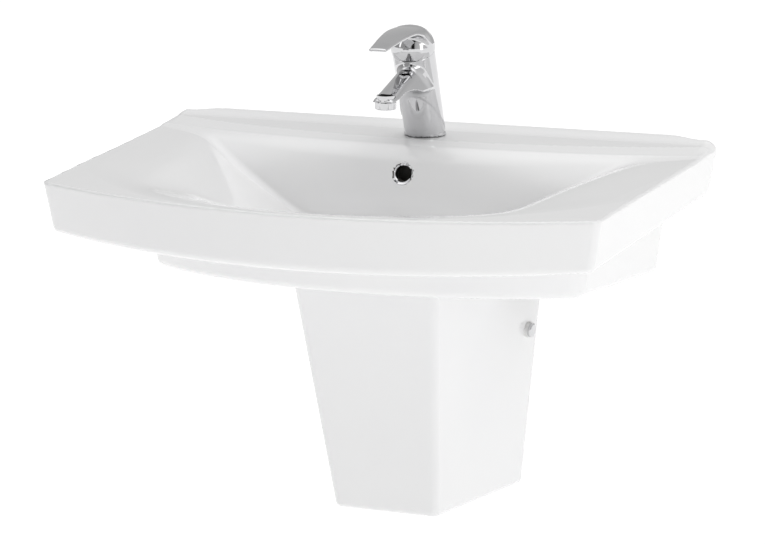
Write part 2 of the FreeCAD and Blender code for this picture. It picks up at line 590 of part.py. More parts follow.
def cartridge():
    fixed_top = PIVOT - DISC_ARM - 5
    housing = revolve([(0, 62.2), (CARTRIDGE_R, 62.2), (CARTRIDGE_R, PIVOT + 5), (12.4, PIVOT + 5),
                       (12.4, PIVOT - 8), (15.5, PIVOT - 8), (15.5, fixed_top - 4), (0, fixed_top - 4)])
    for x in (-INLET_X, INLET_X):
        housing = housing.cut(upright(3, x, 0, 60, fixed_top))
    housing = housing.cut(upright(3.5, 0, 8, 60, fixed_top))
    export("cartridge_housing", on_tap_axis(housing))
    fixed = upright(15.3, 0, 0, fixed_top - 4, fixed_top)
    for x in (-INLET_X, INLET_X):
        fixed = fixed.cut(upright(2.5, x, 0, 0, 100))
    fixed = fixed.cut(upright(3.5, 0, 8, 0, 100))
    export("fixed_disc", on_tap_axis(fixed))
    moving = upright(9.0, 0, 0, fixed_top + 0.05, fixed_top + 7)
    moving = moving.cut(upright(3.2, 0, 0, fixed_top + 2, fixed_top + 8))
    export("moving_disc", on_tap_axis(moving))

    slot = block(-STEM_HALF - 0.3, STEM_HALF + 0.3, -10.5, 10.5, PIVOT - 9, PIVOT + 9)
    carrier = upright(12.3, 0, 0, PIVOT - 7.5, PIVOT + 8).cut(slot)
    carrier = carrier.cut(rod(PIN_R, V(-20, 0, PIVOT), V(20, 0, PIVOT)))
    export("stem_carrier", on_tap_axis(carrier))
    pin = rod(PIN_R, V(-12, 0, PIVOT), V(12, 0, PIVOT))
    export("stem_pin", on_tap_axis(pin))
    bar = block(-STEM_HALF, STEM_HALF, -STEM_HALF, STEM_HALF, PIVOT - 5, SEAM + 20)
    drive = upright(1.5, 0, 0, PIVOT - DISC_ARM, PIVOT - 4)
    drive = drive.fuse(Part.makeSphere(2.5, V(0, 0, PIVOT - DISC_ARM)))
    stem = bar.fuse(drive).cut(rod(PIN_R + 0.05, V(-20, 0, PIVOT), V(20, 0, PIVOT)))
    export("lever_stem", on_tap_axis(stem.removeSplitter()))
    ring_nut = ring(CARTRIDGE_R + 0.2, 12.8, 0, 0, PIVOT + 5.1, PIVOT + 13)
    notch = block(-3, 3, -30, 30, PIVOT + 10, PIVOT + 14)
    ring_nut = ring_nut.cut(notch).cut(turned(notch, Z_AXIS, 90))
    export("cartridge_nut", on_tap_axis(ring_nut))


def lever():
    inner = math.hypot(TAP_R, SEAM - PIVOT) + 0.5
    edge = SEAM + SEAM_GAP
    dome = Part.makeSphere(DOME_R, V(0, 0, DOME_HEIGHT)).cut(upright(2 * TAP_R, 0, 0, 0, edge))
    dome = on_tap_axis(dome)
    # The handle is a curved plate: it rises from the back of the dome, passes over it and
    # reaches forward over the spout, narrowing and thinning towards its tip.
    edge_line = [(26, 119), (32, 129), (43, 136), (60, 138.8), (80, 138.9), (100, 137.4), (140, 132.5),
                 (LEVER_REACH, 127), (LEVER_REACH, 122.8), (140, 127.4), (100, 131), (76, 127), (60, 116),
                 (40, 114)]
    handle = side_profile([(TAP_Y - forward, BASE_Z + height) for forward, height in edge_line], TAP_R)
    tip, root = LEVER_TIP_HALF, TAP_R - 1.5
    plan = [V(-root, TAP_Y, 0), V(-root, TAP_Y - 55, 0), V(-tip, TAP_Y - LEVER_REACH - 1, 0),
            V(tip, TAP_Y - LEVER_REACH - 1, 0), V(root, TAP_Y - 55, 0), V(root, TAP_Y, 0)]
    handle = handle.common(Part.Face(Part.makePolygon(plan + plan[:1])).extrude(V(0, 0, 3 * BASE_Z)))
    solid = dome.fuse(handle).cut(ball(inner))
    fit = STEM_HALF + 0.02
    socket = on_tap_axis(block(-fit, fit, -fit, fit, PIVOT, SEAM + 20.5))
    screw_z = SEAM + 16
    hole = on_tap_axis(rod(2.0, V(0, -STEM_HALF, screw_z), V(0, -40, screw_z)))
    recess = on_tap_axis(rod(3.6, V(0, -21, screw_z), V(0, -40, screw_z)))
    solid = solid.cut(socket).cut(hole).cut(recess)
    export("tap_lever", solid)
    grub = rod(2.0, V(0, -STEM_HALF - 0.05, screw_z), V(0, -14, screw_z))
    grub = grub.cut(rod(1.0, V(0, -11, screw_z), V(0, -15, screw_z)))
    export("lever_grub_screw", on_tap_axis(grub))
    export("index_plug", on_tap_axis(rod(3.55, V(0, -21.1, screw_z), V(0, -25.2, screw_z))))


def aerator():
    y = TAP_Y - SPOUT_REACH
    under = BASE_Z + SPOUT_UNDER
    thread = AERATOR_R - 1.5
    housing = revolve([(9.2, 7), (thread, 7), (thread, 2.2), (AERATOR_R, 2.2 - 3.2), (AERATOR_R, -8.2),
                       (AERATOR_R - 0.8, -9), (9.8, -9), (9.8, -7.5), (9.2, -7.5)])
    housing = housing.cut(revolve([(thread, -0.2), (30, -0.2), (30, 8), (thread, 8)]))
    insert = revolve([(0, 4), (9.1, 4), (9.1, -7), (7.5, -7), (7.5, -2), (0, -2)])
    for k in range(6):
        a = math.radians(60 * k)
        insert = insert.cut(upright(1.1, 4.5 * math.cos(a), 4.5 * math.sin(a), -10, 10))
    seal = ring(9.15, 7.2, 0, 0, 4.1, 6.6)
    export("aerator_housing", moved(housing, 0, y, under))
    export("aerator_insert", moved(insert, 0, y, under))
    export("aerator_seal", moved(seal, 0, y, under))


def main():
    os.makedirs("parts", exist_ok=True)
    export("basin", basin())
    export("semi_pedestal", semi_pedestal())
    export("overflow_ring", overflow_ring())
    export("tap_body", tap_body())
    wall_fixings()
    pedestal_fixings()
    waste_assembly()
    trap_assembly()
    tap_fixings()
    cartridge()
    lever()
    aerator()


main()
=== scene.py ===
import json
import math

import bpy
import numpy as np
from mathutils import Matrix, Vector


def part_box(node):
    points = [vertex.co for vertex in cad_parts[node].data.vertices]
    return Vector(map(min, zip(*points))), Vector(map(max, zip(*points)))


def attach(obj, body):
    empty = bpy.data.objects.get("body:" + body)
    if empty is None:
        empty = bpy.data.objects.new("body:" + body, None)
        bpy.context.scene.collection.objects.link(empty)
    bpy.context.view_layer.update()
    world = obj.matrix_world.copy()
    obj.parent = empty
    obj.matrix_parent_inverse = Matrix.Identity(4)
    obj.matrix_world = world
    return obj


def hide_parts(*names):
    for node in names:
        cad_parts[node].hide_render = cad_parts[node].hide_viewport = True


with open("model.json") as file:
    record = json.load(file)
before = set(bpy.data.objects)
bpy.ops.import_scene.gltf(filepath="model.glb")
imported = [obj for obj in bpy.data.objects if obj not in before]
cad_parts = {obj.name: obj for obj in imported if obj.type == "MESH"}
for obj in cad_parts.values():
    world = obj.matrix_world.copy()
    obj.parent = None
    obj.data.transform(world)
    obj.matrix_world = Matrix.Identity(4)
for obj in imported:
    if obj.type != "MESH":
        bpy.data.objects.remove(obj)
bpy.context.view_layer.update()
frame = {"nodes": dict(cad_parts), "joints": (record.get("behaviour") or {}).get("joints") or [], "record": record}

MM = 0.001

# ---- sizes read from the frame, in millimetres ----
BASIN_LOW, BASIN_HIGH = [np.array(c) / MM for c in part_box("basin")]
SEAL_LOW, SEAL_HIGH = [np.array(c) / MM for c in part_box("tap_base_seal")]
WASTE_LOW, WASTE_HIGH = [np.array(c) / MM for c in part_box("waste_body")]
RING_LOW, RING_HIGH = [np.array(c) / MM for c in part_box("overflow_ring")]
PED_LOW, PED_HIGH = [np.array(c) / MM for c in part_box("semi_pedestal")]
AERATOR_LOW, AERATOR_HIGH = [np.array(c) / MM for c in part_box("aerator_housing")]
SWIVEL = next(j for j in frame["joints"] if j["name"] == "temperature_swivel")

# ---- basin: z is measured from the rim, y from the wall, both negative going down and forward ----
DECK_RISE = 11.0
RIM_Z = BASIN_HIGH[2] - DECK_RISE
RIM_HALF = BASIN_HIGH[0]
RIM_DRAW = 30.0 / 459.0            # half width lost per millimetre forward
BOW_Y = BASIN_LOW[1]
BOW_R = 720.0
FASCIA_LEAN = 0.16
FASCIA_SIDE, FASCIA_BELLY = 57.0, 7.0
CORNER_X = 320.0
DECK_FOOT_MID, DECK_FOOT_RISE, DECK_FOOT_POWER = -137.0, 67.0, 2.2
DECK_SEAT = 5.0
DECK_BACK_SLOPE, DECK_FRONT_SLOPE = 33.0, 39.0
DECK_SIDE_FALL = 14.0
BODY_HALF, BODY_DRAW = 275.0, 0.0751
BODY_R, BODY_CENTRE_Y = 362.2, -33.8
BODY_LEAN = 0.126
UNDER_WALL, UNDER_SLOPE = 161.0, 0.1178
CREASE_BACK_Y, CREASE_X, CREASE_DRAW, CREASE_CURVE = -82.0, 337.0, 0.262, 0.00023
SIDE_SHELF, SIDE_FALL, SIDE_WELL_FALL = 62.0, 0.06, 0.56
FRONT_SHELF, FRONT_FALL, FRONT_WELL_FALL = 82.0, 0.27, 0.25
BOWL_FLOOR, FLOOR_FALL = 104.0, 0.03
BOWL_FRONT_R, BOWL_FRONT_CENTRE_Y = 369.0, -147.0
BOWL_BREAK_Y, BOWL_BREAK, WALL_CURVE = -155.0, 44.0, 38.0
POCKET_HALF, POCKET_FRONT_Y, POCKET_BACK_Y, POCKET_TOP = 255.0, -96.0, -16.0, -14.0
TAP_Y = (SEAL_LOW[1] + SEAL_HIGH[1]) / 2
WASTE_Y = (WASTE_LOW[1] + WASTE_HIGH[1]) / 2
RING_Y = (RING_LOW[1] + RING_HIGH[1]) / 2
RING_DEPTH = RIM_Z - (RING_LOW[2] + RING_HIGH[2]) / 2
TAP_HOLE_R, WASTE_HOLE_R, WASTE_BOSS_R, WASTE_BOSS_DEPTH = 17.5, 22.5, 34.0, 142.0
OVERFLOW_HOLE_R = 11.0
CHANNEL_HALF, CHANNEL_FRONT_Y, CHANNEL_BACK_Y, CHANNEL_ABOVE, CHANNEL_BELOW = 17.0, -138.0, -124.0, 15.0, 60.0
BOLT_X, BOLT_HOLE_R = 140.0, 8.0


# ---- shape tools: negative inside, positive outside ----
def both(a, b, r=0.0):
    """Inside a and b, their meeting edge rounded to radius r."""
    return np.minimum(-r, np.maximum(a, b)) + np.hypot(np.maximum(a + r, 0), np.maximum(b + r, 0))


def either(a, b, r=0.0):
    """Inside a or b, their inner corner filled to radius r."""
    return -both(-a, -b, r)


def without(a, b, r=0.0):
    return both(a, -b, r)


def smooth(a, b, v):
    t = np.clip((v - a) / (b - a), 0, 1)
    return t * t * (3 - 2 * t)


def soft_ramp(v, width):
    """Zero below 0 and v above, with a soft bend of that width."""
    return width * np.logaddexp(0, v / width)


def higher(a, b, width):
    return b + soft_ramp(a - b, width)


def length(*parts):
    return np.sqrt(sum(p * p for p in parts))


def gradient(field, points, reach=0.02):
    out = np.empty_like(points)
    for axis in range(3):
        step = np.zeros(3)
        step[axis] = reach
        out[:, axis] = (field(points + step) - field(points - step)) / (2 * reach)
    return out


def skin(field, low, high, step):
    """Quads, points and normals of the surface where field is zero, inside a box sampled every step."""
    axes = [np.arange(a - step, b + 2 * step, step) for a, b in zip(low, high)]
    sizes = [len(a) for a in axes]
    value = np.empty(sizes, np.float32)
    plane = np.stack(np.meshgrid(axes[1], axes[2], indexing="ij"), -1).reshape(-1, 2)
    for i, x in enumerate(axes[0]):
        points = np.column_stack((np.full(len(plane), x), plane))
        value[i] = field(points).reshape(sizes[1:])
    inside = value < 0
    cells = [n - 1 for n in sizes]
    corners = [(i, j, k) for i in (0, 1) for j in (0, 1) for k in (0, 1)]
    count = np.zeros(cells, np.int8)
    for i, j, k in corners:
        count += inside[i:i + cells[0], j:j + cells[1], k:k + cells[2]]
    active = (count > 0) & (count < 8)
    where = np.argwhere(active)
    index = np.full(cells, -1, np.int64)
    index[active] = np.arange(len(where))
    total, hits = np.zeros((len(where), 3)), np.zeros(len(where))
    for axis in range(3):
        for corner in corners:
            if corner[axis]:
                continue
            a = where + corner
            b = a.copy()
            b[:, axis] += 1
            va, vb = value[tuple(a.T)], value[tuple(b.T)]
            cross = (va < 0) != (vb < 0)
            at = np.tile(np.array(corner, float), (len(where), 1))
            at[:, axis] = np.where(cross, va / np.where(cross, va - vb, 1), 0)
            total += at * cross[:, None]
            hits += cross
    centre = np.array([axes[n][where[:, n]] for n in range(3)]).T + step / 2
    points = centre + (total / hits[:, None] - 0.5) * step
    for _ in range(3):
        slope = gradient(field, points)
        square = np.maximum((slope * slope).sum(1), 1e-3)
        move = slope * (field(points) / square)[:, None]
        points -= np.clip(move, -0.4 * step, 0.4 * step)
        points = np.clip(points, centre - 0.75 * step, centre + 0.75 * step)
    quads = []
    for axis in range(3):
        one, two = [n for n in range(3) if n != axis]
        near = [slice(1, -1)] * 3
        near[axis] = slice(0, -1)
        far = list(near)
        far[axis] = slice(1, None)
        first, second = inside[tuple(near)], inside[tuple(far)]
        for going_in in (False, True):
            edge = np.argwhere(first & ~second if not going_in else ~first & second)
            edge[:, one] += 1
            edge[:, two] += 1
            loop = []
            for da, db in ((0, 0), (-1, 0), (-1, -1), (0, -1)):
                cell = edge.copy()
                cell[:, one] += da
                cell[:, two] += db
                loop.append(index[tuple(cell.T)])
            quad = np.column_stack(loop)
            flip = going_in != (axis == 1)
            quads.append(quad[:, ::-1] if flip else quad)
    normals = gradient(field, points)
    normals /= np.maximum(np.linalg.norm(normals, axis=1), 1e-9)[:, None]
    return np.vstack(quads), points, normals


def make_piece(name, shape, materials, body, replaces=(), second=None):
    """Piece from skin() with points in the frame's millimetres; second marks the faces for materials[1]."""
    quads, points, normals = shape
    mesh = bpy.data.meshes.new(name)
    mesh.vertices.add(len(points))
    mesh.vertices.foreach_set("co", (points * MM).astype(np.float32).ravel())
    mesh.loops.add(quads.size)
    mesh.loops.foreach_set("vertex_index", quads.astype(np.int32).ravel())
    mesh.polygons.add(len(quads))
    mesh.polygons.foreach_set("loop_start", np.arange(0, quads.size, 4, dtype=np.int32))
    mesh.polygons.foreach_set("use_smooth", np.ones(len(quads), bool))
    for material in materials:
        mesh.materials.append(material)
    if second is not None:
        mesh.polygons.foreach_set("material_index", second(points[quads].mean(1)).astype(np.int32))
    mesh.update(calc_edges=True)
    mesh.normals_split_custom_set_from_vertices(normals.astype(np.float32))
    piece = bpy.data.objects.new(name, mesh)
    bpy.context.scene.collection.objects.link(piece)
    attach(piece, body)
    if replaces:
        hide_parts(*replaces)
    return piece


# ---- basin ----
def deck_foot(x):
    """Where the raised deck meets the bowl, in y."""
    return DECK_FOOT_MID + DECK_FOOT_RISE * np.power(np.minimum(x / RIM_HALF, 1.2), DECK_FOOT_POWER)


def deck_height(x, y):
    """Highest at the wall, level around the tap, then falling to the bowl's edge."""
    rise = DECK_SEAT * np.clip((y - deck_foot(x)) / DECK_FRONT_SLOPE, 0, 1)
    rise += (DECK_RISE - DECK_SEAT) * smooth(-DECK_BACK_SLOPE, 0, y)
    to_side = RIM_HALF + RIM_DRAW * y - x
    return soft_ramp(rise * smooth(-4, DECK_SIDE_FALL, to_side), 0.7)


def bowl_height(x, y):
    """The bowl's sloping sides, front and floor."""
    ahead = CREASE_BACK_Y - y
    crease = CREASE_X - CREASE_DRAW * ahead + CREASE_CURVE * ahead * np.maximum(ahead, 0)
    from_side = np.maximum(crease - x, -20)
    side = -SIDE_FALL * from_side - SIDE_WELL_FALL * soft_ramp(from_side - SIDE_SHELF, 9)
    from_front = BOWL_FRONT_R - length(x, y - BOWL_FRONT_CENTRE_Y)
    front = -FRONT_FALL * from_front - FRONT_WELL_FALL * soft_ramp(from_front - FRONT_SHELF, 12)
    slopes = higher(side, front, 5)
    to_waste = length(x, y - WASTE_Y)
    floor = -BOWL_FLOOR + FLOOR_FALL * (to_waste - 40)
    return higher(slopes, floor, 7)


def back_wall(x, z):
    """The bowl's steep back, in y: it follows the deck's edge at the top and runs straight lower down."""
    foot = deck_foot(x)
    fall = (1 - np.exp(np.minimum(z, 0) / WALL_CURVE)) / (1 - math.exp(-BOWL_BREAK / WALL_CURVE))
    return foot + (BOWL_BREAK_Y - foot) * fall + 0.36 * np.maximum(z, 0)


def bowl_space(x, y, z):
    floor = 0.9 * (bowl_height(x, y) - z)
    back = 0.93 * (y - back_wall(x, z))
    return both(floor, back, 8)


def basin_holes(p):
    """The recess under the deck, the overflow's way and the holes for bolts, tap and waste."""
    x, y, z = np.abs(p[:, 0]), p[:, 1], p[:, 2]
    pocket = both(both(x - POCKET_HALF, z - POCKET_TOP, 8), both(POCKET_FRONT_Y - y, y - POCKET_BACK_Y, 3), 5)
    above_ring = z + RING_DEPTH
    reach = both(length(x, above_ring) - OVERFLOW_HOLE_R, both(RING_Y - 12 - y, y - CHANNEL_BACK_Y))
    channel = both(x - CHANNEL_HALF, above_ring - CHANNEL_ABOVE, 5)
    channel = both(channel, both(CHANNEL_FRONT_Y - y, y - CHANNEL_BACK_Y, 2), 3)
    channel = both(channel, -CHANNEL_BELOW - above_ring, 3)
    bolt = both(length(x - BOLT_X, z + RIM_Z) - BOLT_HOLE_R, -y - 20)
    tap = both(length(x, y - TAP_Y) - TAP_HOLE_R, -30 - z)
    waste = both(length(x, y - WASTE_Y) - WASTE_HOLE_R, z + 90)
    return np.minimum.reduce((pocket, reach, channel, bolt, tap, waste))


def basin_field(p):
    x, y, z = np.abs(p[:, 0]), p[:, 1], p[:, 2]
    lean = FASCIA_LEAN * np.maximum(-z, 0)
    side = x - RIM_HALF - RIM_DRAW * y + lean
    front = length(x, y - BOW_Y - BOW_R) - BOW_R + lean
    plan = both(side, front, 7)
    at_side = smooth(70, 10, RIM_HALF + RIM_DRAW * y - x)
    top_r = 3 + 3 * at_side * np.clip((y + 459) / 459, 0, 1) ** 1.5
    slab = both(plan, z - deck_height(x, y), top_r)
    belly = 1 - np.minimum(x / CORNER_X, 1) ** 2
    slab = both(slab, -z - FASCIA_SIDE - FASCIA_BELLY * belly, 5.5 + 5 * belly)
    flare = BODY_LEAN * np.maximum(z + UNDER_WALL, 0)
    body_side = x - BODY_HALF - BODY_DRAW * y - flare
    body_front = length(x, y - BODY_CENTRE_Y) - BODY_R - flare
    body = both(body_side, body_front, 12)
    body = both(body, -z - UNDER_WALL - UNDER_SLOPE * y, 8)
    body = both(body, z + 25)
    solid = either(slab, body, 4)
    boss = both(length(x, y - WASTE_Y) - WASTE_BOSS_R, -z - WASTE_BOSS_DEPTH, 2)
    solid = either(solid, both(boss, z + 90), 4)
    solid = both(solid, y, 3 + 14 * smooth(285, 330, x) * smooth(-75, -60, z))
    mid = 15 - 9 * np.minimum(x / 262, 1) ** 2
    edge_r = 5 + (mid - 5) * smooth(-320, -200, y)
    solid = without(solid, bowl_space(x, y, z), edge_r)
    return without(solid, basin_holes(p), 0.8)


def in_basin_holes(centres):
    p = centres - (0, 0, RIM_Z)
    return (basin_holes(p) < 1.5) & (p[:, 1] < -1) & (p[:, 2] < DECK_RISE - 2)


# ---- semi-pedestal ----
PED_TOP, PED_BOTTOM, PED_WALL_BOTTOM = 126.0, 431.0, 447.0
PED_WALL_HALF, PED_FRONT_HALF, PED_FRONT_Y = (137.0, 109.6), (88.0, 64.0), (-291.0, -210.0)
PED_WALL, PED_FLOOR, FOOT_SLOPE, PED_GAP = 9.0, 24.0, 0.0762, 1.2


def pedestal_field(p):
    x, y, z = np.abs(p[:, 0]), p[:, 1], p[:, 2]
    t = (-z - PED_TOP) / (PED_BOTTOM - PED_TOP)
    wall_half = PED_WALL_HALF[0] + (PED_WALL_HALF[1] - PED_WALL_HALF[0]) * t
    front_half = PED_FRONT_HALF[0] + (PED_FRONT_HALF[1] - PED_FRONT_HALF[0]) * t
    front_y = PED_FRONT_Y[0] + (PED_FRONT_Y[1] - PED_FRONT_Y[0]) * t
    side = (x - wall_half - (front_half - wall_half) * y / front_y) * 0.98
    front = (front_y - y) * 0.965
    outer = both(side, front, 8)
    foot = -PED_WALL_BOTTOM - FOOT_SLOPE * y
    outer = both(outer, foot - z, 6)
    hollow = both(both(side + PED_WALL, front + PED_WALL, 6), PED_FLOOR - PED_WALL_BOTTOM - z, 10)
    shell = without(outer, hollow, 2.5)
    shell = both(shell, z + UNDER_WALL + UNDER_SLOPE * y + PED_GAP, 1.5)
    return both(shell, y, 2)


# ---- tap ----
DECK_Z = SEAL_LOW[2]
BASE = SEAL_HIGH[2] - SEAL_LOW[2]
LEAN = math.asin(-SWIVEL["axis"][1])
COLUMN_R, HOOD_R, SKIRT_R, SEAL_CLEAR_R = 24.3, 25.5, 25.3, 24.2
PIVOT_F = TAP_Y - SWIVEL["pos_m"][1] / MM
PIVOT_H = SWIVEL["pos_m"][2] / MM - DECK_Z
BODY_BALL, LEVER_BALL = 35.7, 36.2
DOME_F, DOME_H, DOME_R = 47.6, 113.0, 26.6
CHAMBER_R, CHAMBER_FLARE, CHAMBER_FLOOR = 17.8, 1.6, 62.0
SPOUT_ROOT_HALF, SPOUT_TAPER, SPOUT_TAPER_RUN = 24.6, 10.2, (25.0, 126.0)
SPOUT_UNDER, SPOUT_END, BEVEL_FROM, BEVEL = 63.0, 158.5, 66.0, 0.42
SOCKET_R = 10.8
LEVER_END, LEVER_ROOT_HALF, LEVER_TAPER, LEVER_TAPER_RUN = 176.6, 25.0, 14.8, (30.0, 147.0)
ARCH = ((-60, -24), (-22, -2), (-8, 8), (0.5, 14.9), (14.9, 23.8), (35.4, 42.3), (54, 56.8), (76, 65.6),
        (96, 69.4), (119, 69.4), (138, 66.2), (156, 63.5), (180, 60))
SPOUT_TOP = ((35, 100), (55, 94), (75, 88.5), (149, 70.0), (180, 62.0))
HANDLE_TOP = ((20, 127), (32, 133), (45, 138), (60, 139.9), (75, 140.2), (88, 139.9), (122, 137.2),
              (150, 133.3), (177, 129), (190, 127))
HANDLE_UNDER = ((20, 110), (46, 115), (58, 123.5), (68, 129.5), (80, 133.2), (92, 134.6), (122, 132.8),
                (150, 129.4), (177, 125.4), (190, 123.5))


def smooth_line(points, v):
    """Cubic line through points, with its slope at each point the mean of its two sides'."""
    xs, ys = np.array(points, float).T
    rise = np.diff(ys) / np.diff(xs)
    slope = np.concatenate(([rise[0]], (rise[1:] + rise[:-1]) / 2, [rise[-1]]))
    n = np.clip(np.searchsorted(xs, v) - 1, 0, len(xs) - 2)
    w = xs[n + 1] - xs[n]
    t = np.clip((v - xs[n]) / w, 0, 1)
    return (ys[n] * (1 + 2 * t) * (1 - t) ** 2 + ys[n + 1] * t * t * (3 - 2 * t)
            + w * slope[n] * t * (1 - t) ** 2 - w * slope[n + 1] * t * t * (1 - t))


def tap_frame(p):
    """Distances sideways, ahead and up from the tap's foot, and along, across and round its axis."""
    side, ahead, up = p[:, 0], TAP_Y - p[:, 1], p[:, 2] - DECK_Z
    along = ahead * math.sin(LEAN) + up * math.cos(LEAN)
    across = ahead * math.cos(LEAN) - up * math.sin(LEAN)
    return side, ahead, up, along, across, length(side, across)


def tap_body_field(p):
    side, ahead, up, along, across, radius = tap_frame(p)
    from_pivot = length(side, ahead - PIVOT_F, up - PIVOT_H)
    from_dome = length(side, ahead - DOME_F, up - DOME_H)
    capped = np.minimum(along - 96, from_pivot - BODY_BALL)
    column = both(radius - COLUMN_R, along - 110)
    from_foot = length(side, ahead)
    skirt = both(from_foot - SKIRT_R, up - BASE - 1.5, 1)
    column = either(column, skirt, 2.5)
    hood = both(radius - HOOD_R, capped, 0.6)
    half = SPOUT_ROOT_HALF - SPOUT_TAPER * np.clip((ahead - SPOUT_TAPER_RUN[0]) / SPOUT_TAPER_RUN[1], 0, 1.2)
    flank = (np.abs(side) - half + BEVEL * np.maximum(up - BEVEL_FROM, 0)) * 0.92
    crown = smooth_line(SPOUT_TOP, ahead) - 0.006 * side * side
    spout = both(flank, (up - crown) * 0.98, 7)
    spout = both(spout, SPOUT_UNDER - up, 1.5)
    spout = both(spout, ahead - SPOUT_END + 0.08 * (up - SPOUT_UNDER), 4)
    spout = both(spout, -across)
    hood = either(hood, spout, 0.5 + 9.5 * smooth(8, 22, across))
    arch = smooth_line(ARCH, ahead)
    steep = (smooth_line(ARCH, ahead + 0.5) - smooth_line(ARCH, ahead - 0.5))
    hood = both(hood, (arch - up) / np.sqrt(1 + steep * steep), 1.0)
    solid = either(column, hood, 0.4)
    near_dome = np.maximum(BODY_BALL - from_pivot, from_dome - DOME_R - 0.5)
    solid = without(solid, near_dome, 0.4)
    solid = both(solid, BASE - up)
    lip = both(both(from_foot - SKIRT_R, SEAL_CLEAR_R - from_foot), both(0.3 - up, up - BASE - 1.5), 0.3)
    solid = np.minimum(solid, lip)
    chamber = np.maximum(radius - CHAMBER_R - CHAMBER_FLARE * smooth(102, 112, along), CHAMBER_FLOOR - along)
    solid = without(solid, chamber, 0.5)
    socket_f = TAP_Y - (AERATOR_LOW[1] + AERATOR_HIGH[1]) / 2
    socket = np.maximum(length(side, ahead - socket_f) - SOCKET_R, up - (AERATOR_HIGH[2] - DECK_Z))
    return without(solid, socket, 0.3)


def tap_lever_field(p):
    side, ahead, up, along, across, radius = tap_frame(p)
    from_pivot = length(side, ahead - PIVOT_F, up - PIVOT_H)
    dome = length(side, ahead - DOME_F, up - DOME_H) - DOME_R
    half = LEVER_ROOT_HALF - LEVER_TAPER * np.clip((ahead - LEVER_TAPER_RUN[0]) / LEVER_TAPER_RUN[1], 0, 1.1)
    top = smooth_line(HANDLE_TOP, ahead) - 0.006 * side * side
    under = smooth_line(HANDLE_UNDER, ahead) - 0.004 * side * side
    blade = both(np.abs(side) - half, (up - top) * 0.99, 2 + 9 * smooth(100, 45, ahead))
    blade = both(blade, (under - up) * 0.98, 1.2)
    blade = both(blade, ahead - LEVER_END, 2.5)
    blade = both(blade, DOME_F - ahead, 12)
    solid = either(dome, blade, 8)
    return both(solid, LEVER_BALL - from_pivot, 0.6)


# ---- materials ----
def material(name, colour, other, roughness, metallic=0.0, grain=400.0, bump=0.05, patch=12.0, coat=0.0):
    """Principled surface whose colour drifts between two tones, with varied roughness and a fine relief."""
    made = bpy.data.materials.new(name)
    made.use_nodes = True
    nodes, links = made.node_tree.nodes, made.node_tree.links
    shader = nodes["Principled BSDF"]
    shader.inputs["Metallic"].default_value = metallic
    shader.inputs["Coat Weight"].default_value = coat
    shader.inputs["Coat Roughness"].default_value = 0.03
    place = nodes.new("ShaderNodeTexCoord")

    def noise(size, detail):
        node = nodes.new("ShaderNodeTexNoise")
        node.inputs["Scale"].default_value = size
        node.inputs["Detail"].default_value = detail
        links.new(place.outputs["Object"], node.inputs["Vector"])
        return node.outputs["Fac"]

    tone = nodes.new("ShaderNodeValToRGB")
    tone.color_ramp.elements[0].position, tone.color_ramp.elements[1].position = 0.35, 0.65
    tone.color_ramp.elements[0].color = (*colour, 1)
    tone.color_ramp.elements[1].color = (*other, 1)
    links.new(noise(patch, 4), tone.inputs["Fac"])
    links.new(tone.outputs["Color"], shader.inputs["Base Color"])
    rough = nodes.new("ShaderNodeMapRange")
    rough.inputs["From Min"].default_value, rough.inputs["From Max"].default_value = 0.3, 0.7
    rough.inputs["To Min"].default_value, rough.inputs["To Max"].default_value = roughness
    links.new(noise(patch * 3.5, 6), rough.inputs["Value"])
    links.new(rough.outputs["Result"], shader.inputs["Roughness"])
    relief = nodes.new("ShaderNodeBump")
    relief.inputs["Strength"].default_value = bump
    relief.inputs["Distance"].default_value = 0.0005
    links.new(noise(grain, 3), relief.inputs["Height"])
    links.new(relief.outputs["Normal"], shader.inputs["Normal"])
    return made


GLAZE = material("glaze", (0.86, 0.86, 0.865), (0.875, 0.875, 0.875), (0.07, 0.12),
                 grain=90, bump=0.02, patch=5, coat=0.3)
# Near-black painted shade for the inside of the basin's holes, recess and overflow channel, on a matte, rough
# surface like the unglazed clay found there
PAINTED_HOLE_SHADE = material("painted_hole_shade_matte", (0.09, 0.085, 0.08), (0.13, 0.12, 0.11), (0.7, 0.9),
                grain=500, bump=0.5, patch=60)
CHROME = material("chrome_plate", (0.63, 0.63, 0.64), (0.67, 0.67, 0.68), (0.03, 0.08),
                  1.0, grain=150, bump=0.012, patch=25)
BRASS = material("turned_brass", (0.62, 0.43, 0.17), (0.72, 0.52, 0.24), (0.22, 0.4),
                 1.0, grain=700, bump=0.2, patch=80)
STEEL = material("zinc_steel", (0.48, 0.49, 0.5), (0.6, 0.6, 0.6), (0.25, 0.45),
                 1.0, grain=900, bump=0.25, patch=90)
WHITE = material("white_plastic", (0.78, 0.78, 0.77), (0.82, 0.82, 0.81), (0.28, 0.42),
                 grain=800, bump=0.12, patch=40)
GREY = material("grey_plastic", (0.22, 0.23, 0.24), (0.28, 0.29, 0.3), (0.35, 0.55),
                grain=900, bump=0.2, patch=60)
DISC = material("disc_ceramic", (0.7, 0.69, 0.66), (0.76, 0.75, 0.72), (0.12, 0.25),
                grain=600, bump=0.05, patch=50)
RUBBER = material("black_rubber", (0.02, 0.02, 0.022), (0.035, 0.035, 0.035), (0.6, 0.8),
                  grain=1200, bump=0.3, patch=70)
INDEX = material("index_mark", (0.34, 0.34, 0.35), (0.42, 0.42, 0.43), (0.25, 0.4),
                 0.6, grain=900, bump=0.05, patch=60)
FINISHES = {
    "glazed_ceramic": GLAZE, "chrome": CHROME, "index_red_blue": INDEX, "white_plastic": WHITE,
    "grey_plastic": GREY, "brass": BRASS, "steel": STEEL, "disc_ceramic": DISC, "rubber": RUBBER,
}


SLOT_OF_NODE = {part["node"]: part["material_slot"] for part in frame["record"]["subparts"]}
for node, obj in frame["nodes"].items():
    obj.data.materials.clear()
    obj.data.materials.append(FINISHES[SLOT_OF_NODE[node]])

